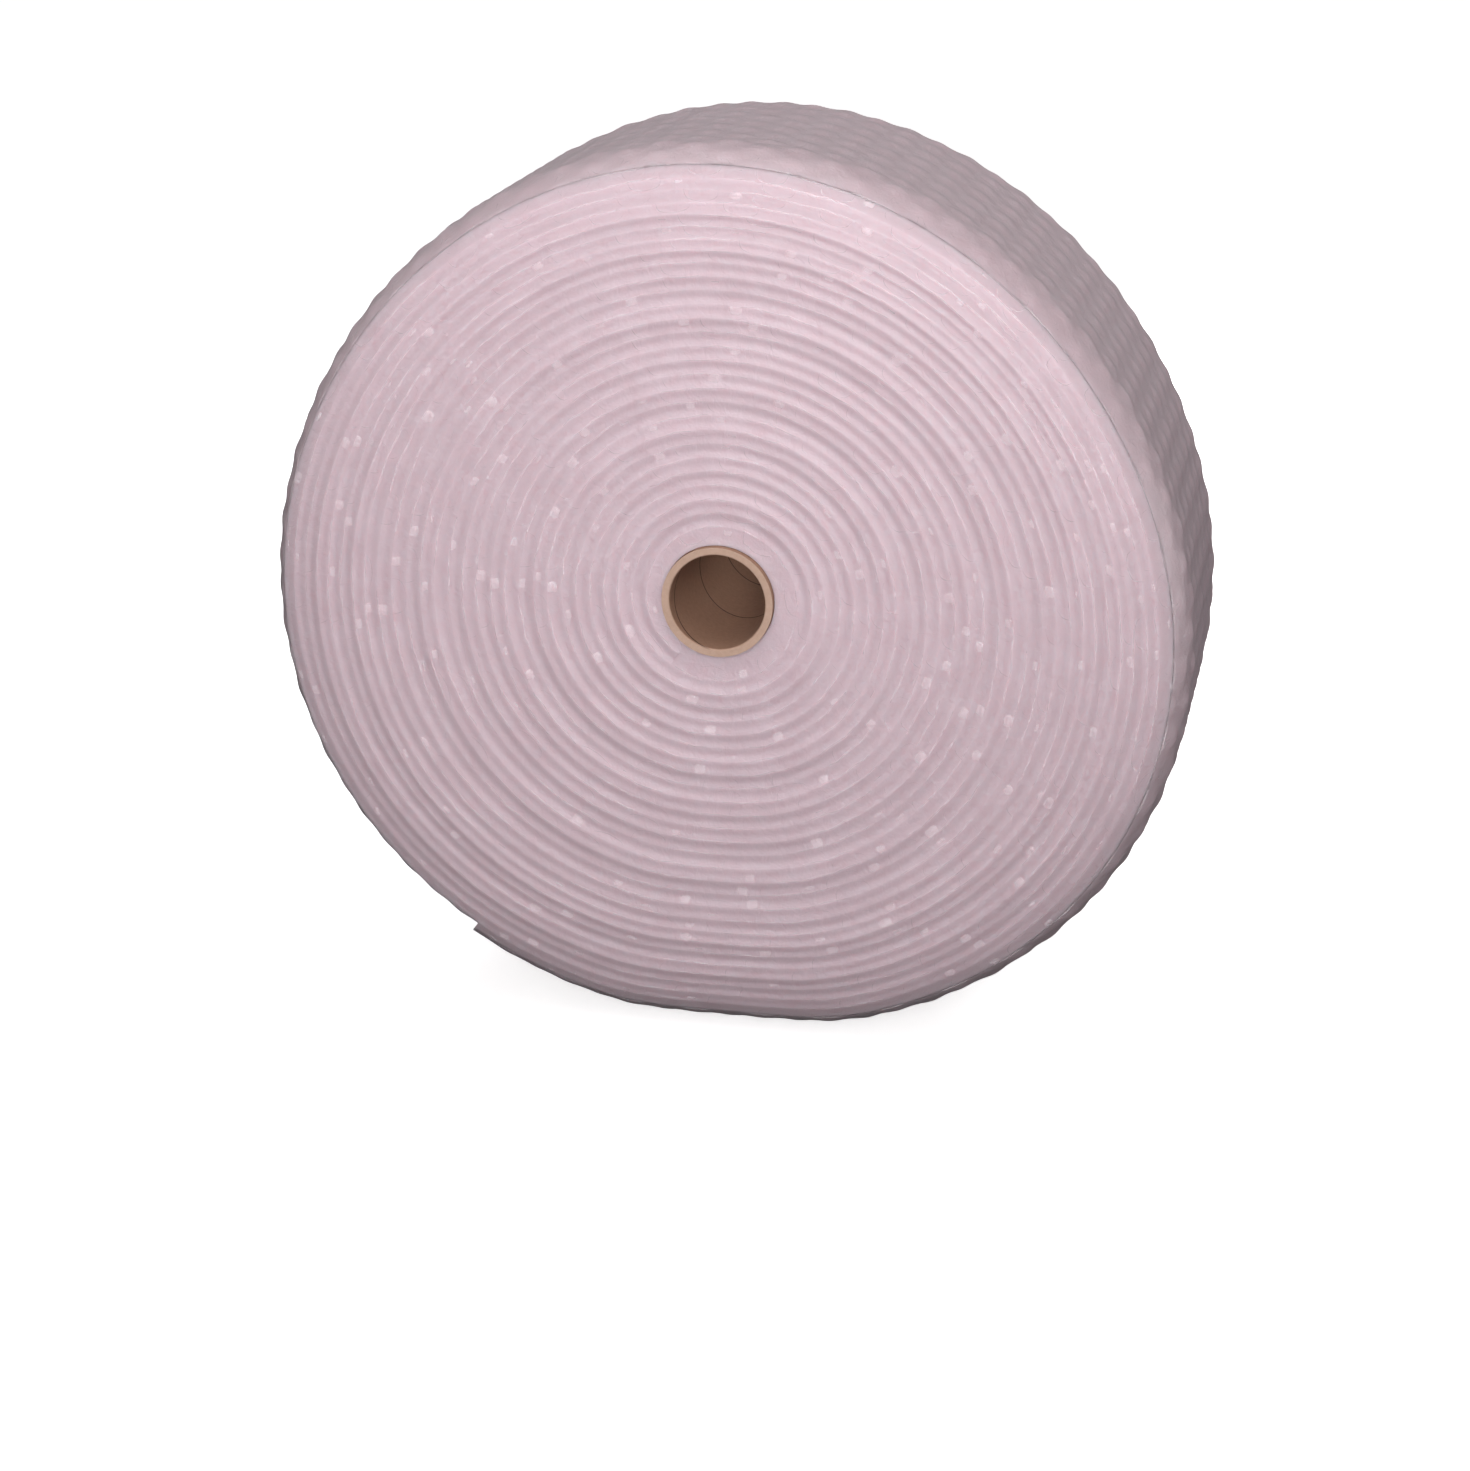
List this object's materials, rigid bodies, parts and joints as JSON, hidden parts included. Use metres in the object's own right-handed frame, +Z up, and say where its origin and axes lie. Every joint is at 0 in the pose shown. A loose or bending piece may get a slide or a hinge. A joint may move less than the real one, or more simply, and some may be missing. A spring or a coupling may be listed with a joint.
{
  "type": "bubble wrap roll",
  "caption": "Roll of large-bubble cushioning film wound on a cardboard core, lying on a small flat spot, with its turns showing at both ends.",
  "frame": {"origin": "on the floor at the middle of the flat spot, straight below the core's axis and midway between the ends", "axes": "+Z up; +Y along the core's axis, away from the end that the picture shows; +X to that end's right"},
  "size_m": [0.742, 0.3088, 0.7209],
  "materials": {
    "core_cardboard": "matte",
    "bubble_film": "satin"
  },
  "bodies": {
    "root": {"core_tube": "core_cardboard", "bubble_web": "bubble_film"}
  },
  "joints": []
}
